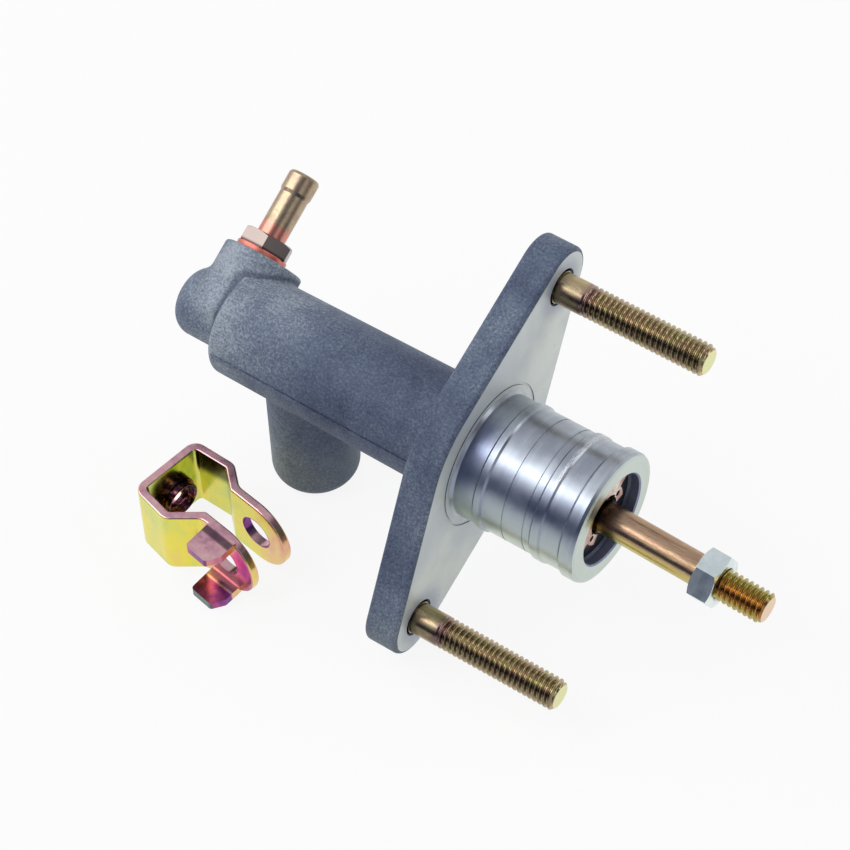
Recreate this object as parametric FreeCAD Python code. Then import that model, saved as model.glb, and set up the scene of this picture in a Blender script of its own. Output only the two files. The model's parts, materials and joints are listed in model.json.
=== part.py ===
import FreeCAD, Part
import math
import os

V = FreeCAD.Vector

# Clutch master cylinder with its clevis taken off and laid beside it.
# Millimetres. Origin on the bore axis at the flange face that meets the bulkhead.
# +X runs along the pushrod towards the pedal, +Z is up, opposite the outlet boss.

# Standard thread of the studs and the pushrod: 5/16 inch, 18 turns per inch
thread_r = 3.95
hex_flats = 12.0

# Running clearance left between parts that slide or turn on each other
run_gap = 0.04
# Gap left between still parts that are stacked along an axis
stack_gap = 0.02
# Gap left between a rubber lip and the bore that it wipes
lip_gap = 0.01

# Bore
bore_r = 9.525
head_wall = 4.5

# Barrel: a cast taper from the flange to the head
barrel_front_r = 14.0
barrel_head_r = 13.4
barrel_end_x = -73.5
barrel_edge_r = 2.2
rib_half_width = 0.6
rib_height = 0.3
rib_above = 6.0

# Nose of the casting beyond the barrel
nose_r = 8.8
nose_length = 15.0
nose_edge_r = 5.0

# Flange: two rounded ends joined to a round middle by straight sides
flange_thickness = 8.9
flange_back_edge_r = 0.8
flange_front_edge_r = 1.2
flange_blend_r = 1.6
stud_half_spacing = 43.0
stud_line_angle = 45.0
flange_end_beyond_stud = 1.3
flange_end_r = 8.8
flange_middle_r = 24.5
foot_groove_inner_r = 18.0
foot_groove_outer_r = 18.7
foot_groove_depth = 0.2

# Spigot that centres the cylinder in the bulkhead
spigot_r = 15.92
spigot_foot_r = 16.6
spigot_foot_length = 0.7
spigot_step_r = 16.04
spigot_bead_r = 16.4
spigot_ring_r = 16.75
spigot_end_x = 34.3
spigot_ring_x = 30.4
spigot_ring_slope = 0.7
bead_start_x = 6.4
bead_end_x = 8.0
bead_slope = 0.5
ridge_start_x = 22.2
ridge_end_x = 24.3
spigot_edge = 1.1
line_depth = 0.18
line_width = 0.3
first_line_x = 14.0
second_line_x = 19.7

# Mouth of the bore
mouth_r = 11.8
mouth_edge = 0.35
shoulder_x = 29.25
stop_washer_thickness = 1.6
stop_washer_hole_r = 5.6
circlip_thickness = 1.2
circlip_outer_r = 12.4
circlip_groove_r = 12.55
circlip_inner_r = 5.35
circlip_gap_start = -157.0
circlip_gap_end = 30.0
circlip_lug_inner_r = 4.95
circlip_lug_outer_r = 7.7
circlip_lug_span = 32.0
circlip_hole_r = 0.8
circlip_hole_at_r = 6.1
circlip_hole_span = 7.0

# Inlet boss and union at the head
inlet_angle = 28.3
inlet_boss_setback = 1.9
inlet_offset = 1.5
inlet_boss_r = 10.4
inlet_boss_foot = 4.5
inlet_boss_edge_r = 0.9
inlet_blend_r = 0.9
nose_blend_r = 3.0
inlet_boss_top = 15.95
inlet_thread_r = 5.0
inlet_thread_depth = 8.2
washer_thickness = 1.5
washer_r = 6.65
washer_edge_r = 0.3
union_hex_height = 3.8
union_hex_roll = 18.0
union_tube_r = 3.74
union_bead_r = 4.04
union_bead_start = 33.6
union_bead_slope = 0.9
union_tip = 38.5
union_tip_edge = 0.8
union_thread_chamfer = 0.6
union_hole_r = 2.4
inlet_passage_r = 2.3
valve_chamber_r = 4.6
valve_chamber_beyond = 3.1
valve_port_r = 2.4
valve_port_length = 2.0

# Outlet boss
outlet_x = -52.7
outlet_boss_r = 11.0
outlet_end_z = -42.8
outlet_edge_r = 4.6
outlet_blend_r = 2.5
outlet_joint_z = -16.6
outlet_thread_r = 5.0
outlet_thread_depth = 8.8
outlet_chamfer = 0.5
seat_recess_r = 4.4
seat_recess_depth = 13.0
outlet_passage_r = 1.6
seat_height = 4.0
seat_foot = 1.2
seat_base_r = 4.2
seat_tip_r = 1.5
seat_hole_r = 1.0

# Flange studs
stud_hole_r = 4.55
stud_hole_chamfer = 0.35
stud_knurl_r = 4.45
stud_knurl_length = 4.2
stud_neck_r = 4.2
stud_head_r = 6.0
stud_head_height = 1.0
stud_head_edge = 0.3
stud_length = 40.2
stud_tip_chamfer = 0.9

# Piston
piston_r = bore_r - run_gap
piston_front_x = 3.0
piston_waist_r = 6.6
piston_nose_r = 4.2
piston_nose_length = 6.2
piston_edge = 0.5
rear_seal_x = 12.0
rear_seal_width = 4.4
rear_seal_root_r = 6.4
rear_seal_lip = 1.2
rear_seal_relief = 0.35
waist_start_x = 6.4
waist_end_x = 9.4
rod_pocket_r = 6.9
rod_pocket_depth = 3.2

# Primary cup and its shim
shim_thickness = 0.6
cup_height = 4.6
cup_lip_height = 2.8
cup_root_thickness = 2.2
cup_tip_thickness = 0.4
cup_back_relief = 0.45
cup_root_relief = 0.2

# Spring cage on the piston nose that pulls the valve stem
cage_flange_r = 7.1
cage_flange_thickness = 0.9
cage_tube_r = 3.3
cage_wall = 0.6
cage_tube_length = 29.0
cage_hole_clearance = 0.1

# Valve at the bottom of the bore
valve_lift = 0.95
stem_r = 1.35
stem_head_r = 2.5
stem_head_length = 1.2
valve_disc_r = 4.6
valve_disc_thickness = 1.0
valve_seal_thickness = 1.4
valve_seal_edge = 0.3
valve_seal_face = 0.9
valve_seal_taper = 0.5
spacer_r = 9.2
spacer_length = 6.4
spacer_cavity_r = 5.6
spacer_cavity_depth = 4.2
spacer_port_r = 1.1
spacer_port_at_r = 4.2
spacer_port_count = 6
spacer_slot_count = 4
spacer_slot_width = 2.4
spacer_slot_depth = 1.6
valve_spring_thickness = 0.35
valve_spring_height = 0.75
valve_spring_margin = 0.5

# Return spring
spring_wire_r = 0.8
spring_coil_r = 6.6
spring_turns = 9.5

# Pushrod
rod_shank_r = 3.93
ball_r = 6.2
rod_tip = 50.5
rod_seat_start = 32.0
rod_seat_r = 3.85
rod_thread_start = 38.6
rod_thread_r = 3.6
rod_tip_chamfer = 0.5
rod_tilt = 1.53
rod_tilt_towards = 211.0
nut_start = 32.4
nut_height = 6.0
nut_roll = -1.0
nut_sink = 0.4

# Clevis laid beside the cylinder
sheet = 2.3
clevis_x = -74.2
clevis_y = -31.8
clevis_turn = -9.2
clevis_floor_z = outlet_end_z
clevis_height = 19.8
clevis_half_width = 10.25
clevis_bend_r = 3.4
clevis_inner_bend_r = 1.1
clevis_edge_r = 0.45
arm_one_flare = 1.5
arm_one_jog_start = 12.5
arm_one_jog_end = 18.3
arm_one_v = 7.75
arm_two_flare = 1.3
arm_two_jog_start = 12.2
arm_two_jog_end = 18.8
arm_two_v = -5.3
ear_r = clevis_height / 2
pin_hole_r = 4.45
pin_hole_u = 25.6
tab_start = 20.9
tab_end = 30.0
tab_reach = 8.0
tab_tip_start = 21.6
tab_tip_end = 28.4
tab_tip_drop = 0.2
tab_shoulder_u = 30.3
tab_shoulder_reach = 4.8
tab_corner_r = 1.0
clevis_boss_r = 5.4
clevis_boss_length = 3.4
clevis_boss_step_r = 4.8
clevis_boss_step = 1.7
clevis_thread_r = 3.9

# Places along the bore that follow from the sizes above
bore_end_x = barrel_end_x + head_wall
nose_end_x = barrel_end_x - nose_length
inlet_boss_x = barrel_end_x - inlet_boss_setback
inlet_x = inlet_boss_x - inlet_offset
valve_chamber_end_x = inlet_x - valve_chamber_beyond
stop_washer_x = shoulder_x + stack_gap
circlip_x = stop_washer_x + stop_washer_thickness + stack_gap
ball_x = stop_washer_x - math.sqrt(ball_r ** 2 - stop_washer_hole_r ** 2) - run_gap
piston_rear_x = stop_washer_x - stack_gap
nose_tip_x = piston_front_x - piston_nose_length
cup_back_x = piston_front_x - shim_thickness
cup_root_x = cup_back_x - (cup_height - cup_lip_height)
cage_end_x = nose_tip_x - cage_tube_length
seal_x = bore_end_x + valve_lift + stack_gap
disc_x = seal_x + valve_seal_thickness
spring_start_x = bore_end_x + spacer_length
spring_end_x = cup_root_x - cage_flange_thickness
outlet_length = -outlet_end_z


def revolve(profile):
    """Solid of revolution about X from (x, r) points."""
    points = [V(x, r, 0) for x, r in profile]
    face = Part.Face(Part.makePolygon(points + [points[0]]))
    return face.revolve(V(0, 0, 0), V(1, 0, 0), 360)


def rod_x(radius, start, end):
    """Cylinder along X from start to end."""
    return Part.makeCylinder(radius, end - start, V(start, 0, 0), V(1, 0, 0))


def around_x(y_angle):
    """Unit vector across the bore, at an angle from +Y towards +Z."""
    a = math.radians(y_angle)
    return V(0, math.cos(a), math.sin(a))


def along(shape, base, direction):
    """Place a shape built along +X so that it starts at base and runs along direction."""
    moved = shape.copy()
    turn = FreeCAD.Rotation(V(1, 0, 0), direction)
    moved.Placement = FreeCAD.Placement(base, turn).multiply(moved.Placement)
    return moved


def hexagon(flats, height, roll=0.0):
    """Hexagonal prism along +X with 30 degree rounded corners at its far end."""
    corner_r = flats / math.sqrt(3)
    points = []
    for k in range(7):
        a = math.radians(60 * k + roll)
        points.append(V(0, corner_r * math.cos(a), corner_r * math.sin(a)))
    prism = Part.Face(Part.makePolygon(points)).extrude(V(height, 0, 0))
    drop = (corner_r - flats / 2) * math.tan(math.radians(30))
    crown = revolve([(0, 0), (0, corner_r + 0.01), (height - drop, corner_r + 0.01),
                     (height, flats / 2 - 0.1), (height, 0)])
    return prism.common(crown)


def edges_near(shape, test):
    """Edges whose middle point passes a test."""
    found = []
    for edge in shape.Edges:
        middle = edge.valueAt((edge.FirstParameter + edge.LastParameter) / 2)
        if test(edge, middle):
            found.append(edge)
    return found


# Outline of the flange, drawn in its own plane and turned to the stud line
def flange_outline(end_r, middle_r, x):
    gap = stud_half_spacing + flange_end_beyond_stud
    a = math.acos((middle_r - end_r) / gap)
    c, s = math.cos(a), math.sin(a)

    def at(u, v):
        t = math.radians(stud_line_angle)
        return V(x, u * math.cos(t) - v * math.sin(t), u * math.sin(t) + v * math.cos(t))

    right_top = at(gap + end_r * c, end_r * s)
    right_low = at(gap + end_r * c, -end_r * s)
    middle_rt = at(middle_r * c, middle_r * s)
    middle_rl = at(middle_r * c, -middle_r * s)
    middle_lt = at(-middle_r * c, middle_r * s)
    middle_ll = at(-middle_r * c, -middle_r * s)
    left_top = at(-gap - end_r * c, end_r * s)
    left_low = at(-gap - end_r * c, -end_r * s)
    edges = [
        Part.Arc(right_low, at(gap + end_r, 0), right_top).toShape(),
        Part.makeLine(right_top, middle_rt),
        Part.Arc(middle_rt, at(0, middle_r), middle_lt).toShape(),
        Part.makeLine(middle_lt, left_top),
        Part.Arc(left_top, at(-gap - end_r, 0), left_low).toShape(),
        Part.makeLine(left_low, middle_ll),
        Part.Arc(middle_ll, at(0, -middle_r), middle_rl).toShape(),
        Part.makeLine(middle_rl, right_low),
    ]
    return Part.Wire(edges)


up_stud = around_x(stud_line_angle) * stud_half_spacing
inlet_dir = around_x(inlet_angle)
down = V(0, 0, -1)


# Casting, in four solids that meet at the flange's two faces and at the foot of the outlet boss.
# Each boss is fused and blended in turn
def make_barrel_and_outlet():
    body = barrel_of(0)
    body = body.makeFillet(barrel_edge_r, edges_near(
        body, lambda e, m: abs(m.x - barrel_end_x) < 0.01 and radial(m) > bore_r))
    outlet = along(rod_x(outlet_boss_r, 0, outlet_length), V(outlet_x, 0, 0), down)
    outlet = outlet.makeFillet(outlet_edge_r, edges_near(
        outlet, lambda e, m: abs(m.z - outlet_end_z) < 0.01))
    body = body.fuse(outlet).removeSplitter()
    body = body.makeFillet(outlet_blend_r, edges_near(
        body, lambda e, m: crosses(m, outlet_x, down, outlet_boss_r)
        and radial(m) < barrel_front_r + 1.2 and m.z < -3))
    boss = rod_x(inlet_boss_r, -inlet_boss_foot, inlet_boss_top)
    boss = boss.makeFillet(inlet_boss_foot, edges_near(
        boss, lambda e, m: abs(m.x + inlet_boss_foot) < 0.01))
    boss = boss.makeFillet(inlet_boss_edge_r, edges_near(
        boss, lambda e, m: abs(m.x - inlet_boss_top) < 0.01))
    nose = rod_x(nose_r, nose_end_x, barrel_end_x + 5)
    nose = nose.makeFillet(nose_edge_r, edges_near(
        nose, lambda e, m: abs(m.x - nose_end_x) < 0.01))
    head = along(boss, V(inlet_boss_x, 0, 0), inlet_dir).fuse(nose).removeSplitter()
    head = head.makeFillet(nose_blend_r, edges_near(
        head, lambda e, m: crosses(m, inlet_boss_x, inlet_dir, inlet_boss_r)
        and abs(radial(m) - nose_r) < 0.3 and m.dot(inlet_dir) > 2))
    body = body.fuse(head).removeSplitter()
    body = body.makeFillet(inlet_blend_r, edges_near(
        body, lambda e, m: barrel_end_x + barrel_edge_r < m.x < inlet_boss_x + inlet_boss_r + 1
        and m.dot(inlet_dir) > 5 and abs(radial(m) - barrel_head_r) < 0.8))
    plate = rod_x(flange_middle_r, -flange_thickness, 0)
    body = body.fuse(plate).removeSplitter()
    body = body.makeFillet(flange_blend_r, edges_near(
        body, lambda e, m: abs(m.x + flange_thickness) < 0.2 and radial(m) < barrel_front_r + 0.5))
    body = body.cut(rod_x(flange_middle_r + 1, -flange_thickness, 1))
    body = body.fuse([parting_rib(1), parting_rib(-1)]).cut(barrel_holes())
    below = Part.makeBox(4 * outlet_boss_r, 4 * outlet_boss_r, outlet_length,
                         V(outlet_x - 2 * outlet_boss_r, -2 * outlet_boss_r, outlet_joint_z - outlet_length))
    return body.cut(below), body.common(below)


def make_flange():
    flange = Part.Face(flange_outline(flange_end_r, flange_middle_r, -flange_thickness))
    flange = flange.extrude(V(flange_thickness, 0, 0))
    flange = flange.makeFillet(flange_front_edge_r, edges_near(flange, lambda e, m: abs(m.x) < 0.01))
    flange = flange.makeFillet(flange_back_edge_r, edges_near(
        flange, lambda e, m: abs(m.x + flange_thickness) < 0.01))
    cuts = [ring(foot_groove_outer_r, foot_groove_inner_r, -foot_groove_depth, 1)]
    for side in (1, -1):
        wide_start = -flange_thickness + stud_knurl_length
        for hole in (
            rod_x(stud_hole_r, wide_start, 1),
            rod_x(stud_knurl_r, -flange_thickness - 1, 1),
            cone_x(stud_hole_r, stud_hole_r + stud_hole_chamfer, -stud_hole_chamfer, 0),
        ):
            cuts.append(along(hole, up_stud * side, V(1, 0, 0)))
    return flange.cut(bore().fuse(cuts))


def barrel_of(extra):
    """Tapered barrel, made thicker all round by extra."""
    front = -flange_thickness + 1
    return revolve([(barrel_end_x, 0), (barrel_end_x, barrel_head_r + extra),
                    (front, barrel_front_r + extra), (front, 0)])


def parting_rib(side):
    """Low line left along the barrel where the halves of the mould met."""
    start = barrel_end_x + barrel_edge_r
    strip = Part.makeBox(-flange_thickness - start, barrel_front_r + 2, 2 * rib_half_width,
                         V(start, 0, -rib_half_width))
    strip.rotate(V(0, 0, 0), V(1, 0, 0), 180 - rib_above if side > 0 else rib_above)
    return strip.common(barrel_of(rib_height))


def make_spigot():
    body = revolve([
        (0, 0), (0, spigot_foot_r), (spigot_foot_length, spigot_r),
        (bead_start_x - bead_slope, spigot_r), (bead_start_x, spigot_bead_r),
        (bead_end_x, spigot_bead_r), (bead_end_x + bead_slope, spigot_r),
        (ridge_start_x - bead_slope, spigot_r), (ridge_start_x, spigot_bead_r),
        (ridge_end_x, spigot_bead_r), (ridge_end_x + bead_slope, spigot_step_r),
        (spigot_ring_x - spigot_ring_slope, spigot_step_r), (spigot_ring_x, spigot_ring_r),
        (spigot_end_x - spigot_edge, spigot_ring_r),
        (spigot_end_x - spigot_edge * 0.3, spigot_ring_r - spigot_edge * 0.3),
        (spigot_end_x, spigot_ring_r - spigot_edge), (spigot_end_x, 0)])
    cuts = [
        rod_x(mouth_r, shoulder_x, spigot_end_x + 1),
        cone_x(mouth_r, mouth_r + mouth_edge, spigot_end_x - mouth_edge, spigot_end_x),
        ring(circlip_groove_r, mouth_r - 1, circlip_x - stack_gap, circlip_x + circlip_thickness + stack_gap),
    ]
    for line_x in (first_line_x, second_line_x):
        cuts.append(ring(spigot_r + 1, spigot_r - line_depth, line_x, line_x + line_width))
    return body.cut(bore().fuse(cuts))


def radial(p):
    return math.hypot(p.y, p.z)


def crosses(p, x, direction, radius):
    """Whether a point lies on the wall of a boss that stands on the bore axis."""
    q = p - V(x, 0, 0)
    height = q.dot(direction)
    away = (q - direction * height).Length
    return height > 2 and abs(away - radius) < 0.6


def bore():
    return rod_x(bore_r, bore_end_x, spigot_end_x + 1)


def cone_x(near_r, far_r, start, end):
    """Cone along X that widens from start to end, and as far again beyond it."""
    return Part.makeCone(near_r, 2 * far_r - near_r, 2 * (end - start), V(start, 0, 0), V(1, 0, 0))


def barrel_holes():
    inlet_cuts = [
        rod_x(inlet_passage_r, 0, inlet_boss_top),
        rod_x(inlet_thread_r, inlet_boss_top - inlet_thread_depth, inlet_boss_top + inlet_boss_r),
    ]
    outlet_cuts = [
        rod_x(outlet_passage_r, 2, outlet_length),
        rod_x(seat_recess_r, outlet_length - seat_recess_depth, outlet_length),
        rod_x(outlet_thread_r, outlet_length - outlet_thread_depth, outlet_length + 1),
        cone_x(outlet_thread_r, outlet_thread_r + outlet_chamfer, outlet_length - outlet_chamfer, outlet_length),
    ]
    cuts = [
        rod_x(valve_port_r, bore_end_x - valve_port_length - 1, bore_end_x + 1),
        rod_x(valve_chamber_r, valve_chamber_end_x, bore_end_x - valve_port_length),
    ]
    cuts += [along(cut, V(inlet_x, 0, 0), inlet_dir) for cut in inlet_cuts]
    cuts += [along(cut, V(outlet_x, 0, 0), down) for cut in outlet_cuts]
    return bore().fuse(cuts)


def ring(outer, inner, start, end):
    return rod_x(outer, start, end).cut(rod_x(inner, start - 1, end + 1))


# Flange studs, pressed in from the barrel side
def make_stud(side):
    start = -flange_thickness
    shape = revolve([
        (start - stud_head_height, 0), (start - stud_head_height, stud_head_r - stud_head_edge),
        (start - stud_head_height + stud_head_edge, stud_head_r), (start, stud_head_r), (start, stud_knurl_r),
        (start + stud_knurl_length, stud_knurl_r), (start + stud_knurl_length, stud_neck_r),
        (0, stud_neck_r), (0, thread_r),
        (stud_length - stud_tip_chamfer, thread_r), (stud_length, thread_r - stud_tip_chamfer),
        (stud_length, 0)])
    return along(shape, up_stud * side, V(1, 0, 0))


# Inlet union and its copper washer
def make_union():
    hex_base = inlet_boss_top + washer_thickness
    foot = inlet_boss_top - inlet_thread_depth + stack_gap
    hexa = hexagon(hex_flats, union_hex_height, union_hex_roll)
    hexa.translate(V(hex_base, 0, 0))
    turned = revolve([
        (foot, 0), (foot, inlet_thread_r - union_thread_chamfer), (foot + union_thread_chamfer, inlet_thread_r),
        (hex_base + 1, inlet_thread_r), (hex_base + 1, union_tube_r),
        (union_bead_start - union_bead_slope, union_tube_r),
        (union_bead_start, union_bead_r), (union_tip - union_tip_edge, union_bead_r),
        (union_tip - union_tip_edge / 4, union_bead_r - union_tip_edge * 0.45),
        (union_tip, union_bead_r - union_tip_edge), (union_tip, 0)])
    body = hexa.fuse(turned).cut(rod_x(union_hole_r, foot - 1, union_tip + 1)).removeSplitter()
    return along(body, V(inlet_x, 0, 0), inlet_dir)


def make_copper_washer():
    flat = ring(washer_r, inlet_thread_r, inlet_boss_top, inlet_boss_top + washer_thickness)
    flat = flat.makeFillet(washer_edge_r, edges_near(
        flat, lambda e, m: radial(m) > washer_r - 0.1 and e.Length > 5 * washer_r))
    return along(flat, V(inlet_x, 0, 0), inlet_dir)


# Flare seat at the bottom of the outlet port
def make_outlet_seat():
    floor = outlet_length - seat_recess_depth
    seat = revolve([(floor, seat_hole_r), (floor, seat_base_r), (floor + seat_foot, seat_base_r),
                    (floor + seat_height, seat_tip_r), (floor + seat_height, seat_hole_r)])
    return along(seat, V(outlet_x, 0, 0), down)


# Horseshoe circlip. A short lug with a hole for the pliers stands at each end of its gap
def make_circlip():
    far = circlip_x + circlip_thickness
    plate = ring(circlip_outer_r, circlip_inner_r, circlip_x, far)
    plate = plate.cut(sector(circlip_gap_start, circlip_gap_end))
    lugs = ring(circlip_lug_outer_r, circlip_lug_inner_r, circlip_x, far)
    for edge, way in ((circlip_gap_start, 1), (circlip_gap_end, -1)):
        ends = sorted((edge - way, edge + way * circlip_lug_span))
        plate = plate.fuse(lugs.common(sector(*ends)))
        hole = rod_x(circlip_hole_r, circlip_x - 1, far + 1)
        hole.translate(around_x(edge + way * circlip_hole_span) * circlip_hole_at_r)
        plate = plate.cut(hole)
    return plate.removeSplitter()


def sector(start, end):
    """Slice of the circlip's space between two angles round the bore."""
    reach = circlip_outer_r * 3
    steps = 6
    points = [V(circlip_x - 1, 0, 0)]
    for k in range(steps + 1):
        points.append(V(circlip_x - 1, 0, 0) + around_x(start + (end - start) * k / steps) * reach)
    return Part.Face(Part.makePolygon(points + [points[0]])).extrude(V(circlip_thickness + 2, 0, 0))


def make_stop_washer():
    return ring(mouth_r - 0.1, stop_washer_hole_r, stop_washer_x, stop_washer_x + stop_washer_thickness)


# Piston with a pocket for the ball of the pushrod
def make_piston():
    shape = revolve([
        (nose_tip_x, 0), (nose_tip_x, piston_nose_r - piston_edge), (nose_tip_x + piston_edge, piston_nose_r),
        (piston_front_x, piston_nose_r), (piston_front_x, piston_r), (waist_start_x, piston_r),
        (waist_start_x, piston_waist_r), (waist_end_x, piston_waist_r), (waist_end_x, piston_r),
        (rear_seal_x, piston_r), (rear_seal_x, rear_seal_root_r),
        (rear_seal_x + rear_seal_width, rear_seal_root_r), (rear_seal_x + rear_seal_width, piston_r),
        (piston_rear_x - piston_edge, piston_r), (piston_rear_x, piston_r - piston_edge), (piston_rear_x, 0)])
    pocket = rod_x(rod_pocket_r, ball_x, piston_rear_x + 1)
    cup = Part.makeSphere(rod_pocket_r, V(ball_x, 0, 0))
    seat = Part.makeSphere(ball_r + run_gap, V(ball_x, 0, 0))
    lower = rod_x(rod_pocket_r + 1, ball_x - rod_pocket_r - 1, ball_x - rod_pocket_depth)
    return shape.cut(pocket).cut(seat).cut(cup.cut(lower))


def make_rear_seal():
    start = rear_seal_x + stack_gap
    end = rear_seal_x + rear_seal_width - stack_gap
    return revolve([(start, rear_seal_root_r), (start, bore_r - lip_gap),
                    (start + rear_seal_lip, bore_r - rear_seal_relief),
                    (end, bore_r - rear_seal_relief), (end, rear_seal_root_r)])


# Shim, primary cup and spring cage stacked on the piston nose
def make_shim():
    return ring(bore_r - cup_back_relief, piston_nose_r, cup_back_x, piston_front_x)


def make_primary_cup():
    tip = cup_back_x - cup_height
    return revolve([
        (cup_back_x, piston_nose_r), (cup_back_x, bore_r - cup_back_relief),
        (cup_root_x, bore_r - cup_root_relief), (tip, bore_r - lip_gap), (tip, bore_r - cup_tip_thickness),
        (cup_root_x, bore_r - cup_root_thickness), (cup_root_x, piston_nose_r)])


def make_spring_cage():
    outer = piston_nose_r + cage_wall
    hole_r = stem_r + cage_hole_clearance
    return revolve([
        (cup_root_x, piston_nose_r), (cup_root_x, cage_flange_r), (spring_end_x, cage_flange_r),
        (spring_end_x, outer), (nose_tip_x - cage_wall, outer), (nose_tip_x - cage_wall, cage_tube_r),
        (cage_end_x, cage_tube_r), (cage_end_x, hole_r), (cage_end_x + cage_wall, hole_r),
        (cage_end_x + cage_wall, cage_tube_r - cage_wall), (nose_tip_x, cage_tube_r - cage_wall),
        (nose_tip_x, piston_nose_r)])


# Valve stem, its disc and rubber face, lifted off the port at rest
def make_valve_stem():
    head = cage_end_x + cage_wall + stack_gap
    disc_end = disc_x + valve_disc_thickness
    return revolve([
        (disc_x, 0), (disc_x, valve_disc_r), (disc_end, valve_disc_r), (disc_end, stem_r),
        (head, stem_r), (head, stem_head_r), (head + stem_head_length, stem_head_r),
        (head + stem_head_length, 0)])


def make_valve_seal():
    rim = valve_disc_r - valve_seal_edge
    return revolve([(seal_x, 0), (seal_x, valve_port_r + valve_seal_face), (seal_x + valve_seal_taper, rim),
                    (disc_x, rim), (disc_x, 0)])


def make_valve_spacer():
    body = rod_x(spacer_r, bore_end_x, spring_start_x)
    body = body.cut(rod_x(spacer_cavity_r, bore_end_x - 1, bore_end_x + spacer_cavity_depth))
    body = body.cut(rod_x(stem_r + run_gap, bore_end_x, spring_start_x + 1))
    for k in range(spacer_port_count):
        port = rod_x(spacer_port_r, bore_end_x + 1, spring_start_x + 1)
        port.translate(around_x(360 * k / spacer_port_count) * spacer_port_at_r)
        body = body.cut(port)
    for k in range(spacer_slot_count):
        slot = Part.makeBox(spacer_slot_depth, spacer_slot_width, spacer_r + 1,
                            V(bore_end_x - stack_gap, -spacer_slot_width / 2, 0))
        slot.rotate(V(0, 0, 0), V(1, 0, 0), 360 * (k + 0.5) / spacer_slot_count)
        body = body.cut(slot)
    return body


def make_valve_spring():
    back = bore_end_x + spacer_cavity_depth
    low = back - valve_spring_height
    t = valve_spring_thickness
    inner = stem_r + valve_spring_margin
    outer = spacer_cavity_r - valve_spring_margin
    return revolve([(back, inner), (low + t, outer), (low, outer), (back - t, inner)])


# Return spring between the cage flange and the spacer
def make_return_spring():
    low = spring_start_x + spring_wire_r + stack_gap
    high = spring_end_x - spring_wire_r - stack_gap
    pitch = (high - low) / spring_turns
    helix = Part.makeHelix(pitch, high - low, spring_coil_r)
    wire = Part.Wire(helix.Edges)
    start = V(spring_coil_r, 0, 0)
    circle = Part.Wire(Part.makeCircle(spring_wire_r, start, V(0, 1, pitch / (2 * math.pi * spring_coil_r))))
    coil = wire.makePipeShell([circle], True, True)
    coil.rotate(V(0, 0, 0), V(0, 1, 0), 90)
    coil.translate(V(low, 0, 0))
    return coil


# Pushrod, built along X from its ball and then tilted about it
tilt_way = around_x(rod_tilt_towards)
rod_dir = V(math.cos(math.radians(rod_tilt)), 0, 0) + tilt_way * math.sin(math.radians(rod_tilt))


def make_pushrod():
    ball = Part.makeSphere(ball_r)
    shank = revolve([
        (0, 0), (0, rod_shank_r), (rod_seat_start, rod_shank_r), (rod_seat_start, rod_seat_r),
        (rod_thread_start, rod_seat_r), (rod_thread_start, rod_thread_r),
        (rod_tip - rod_tip_chamfer, rod_thread_r), (rod_tip, rod_thread_r - rod_tip_chamfer), (rod_tip, 0)])
    return along(ball.fuse(shank).removeSplitter(), V(ball_x, 0, 0), rod_dir)


def make_lock_nut():
    half = hexagon(hex_flats, nut_height / 2, nut_roll)
    nut = half.fuse(half.mirror(V(0, 0, 0), V(1, 0, 0))).removeSplitter()
    nut = nut.cut(rod_x(rod_seat_r + run_gap, -nut_height, nut_height))
    sink = cone_x(rod_seat_r, rod_seat_r + nut_sink, nut_height / 2 - nut_sink, nut_height / 2)
    nut = nut.cut(sink).cut(sink.mirror(V(0, 0, 0), V(1, 0, 0)))
    nut.translate(V(nut_start + nut_height / 2, 0, 0))
    return along(nut, V(ball_x, 0, 0), rod_dir)


# Clevis bent from one strip, drawn in plan with u along the arms and v across them
def clevis_path():
    w = clevis_half_width
    arm_end = pin_hole_u + ear_r + 1
    return [V(arm_end, arm_two_v, 0), V(arm_two_jog_end, arm_two_v, 0),
            V(arm_two_jog_start, -w - arm_two_flare, 0), V(0, -w, 0), V(0, w, 0),
            V(arm_one_jog_start, w + arm_one_flare, 0), V(arm_one_jog_end, arm_one_v, 0),
            V(arm_end, arm_one_v, 0)]


def offset_points(points, distance):
    """Points of an open line moved sideways, with mitred corners."""
    out = []
    for i, p in enumerate(points):
        before = (points[i] - points[i - 1]).normalize() if i > 0 else None
        after = (points[i + 1] - points[i]).normalize() if i < len(points) - 1 else None
        if before is None:
            normal = V(after.y, -after.x, 0)
        elif after is None:
            normal = V(before.y, -before.x, 0)
        else:
            a = V(before.y, -before.x, 0)
            b = V(after.y, -after.x, 0)
            normal = (a + b) * (1 / (1 + a.dot(b)))
        out.append(p + normal * distance)
    return out


def make_clevis_yoke():
    outer = clevis_path()
    inner = offset_points(outer, sheet)
    plan = Part.Face(Part.makePolygon(outer + inner[::-1] + [outer[0]]))
    strip = plan.extrude(V(0, 0, clevis_height))
    strip = round_bends(strip, outer, clevis_bend_r)
    strip = round_bends(strip, inner, clevis_inner_bend_r).common(clevis_side())
    strip = strip.makeFillet(clevis_edge_r, edges_near(
        strip, lambda e, m: abs(m.z) < 0.01 or abs(m.z - clevis_height) < 0.01))
    hole = Part.makeCylinder(pin_hole_r, 6 * ear_r, V(pin_hole_u, -3 * ear_r, clevis_height / 2), V(0, 1, 0))
    seat = Part.makeCylinder(clevis_thread_r, sheet + 2, V(-1, 0, clevis_height / 2), V(1, 0, 0))
    strip = strip.cut(hole).cut(seat)
    strip = strip.fuse([tab(0.0), tab(clevis_height - sheet)]).removeSplitter()
    return lay_clevis(strip)


def round_bends(strip, points, radius):
    for p in points[1:-1]:
        strip = strip.makeFillet(radius, edges_near(
            strip, lambda e, m: math.hypot(m.x - p.x, m.y - p.y) < 0.05))
    return strip


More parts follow.
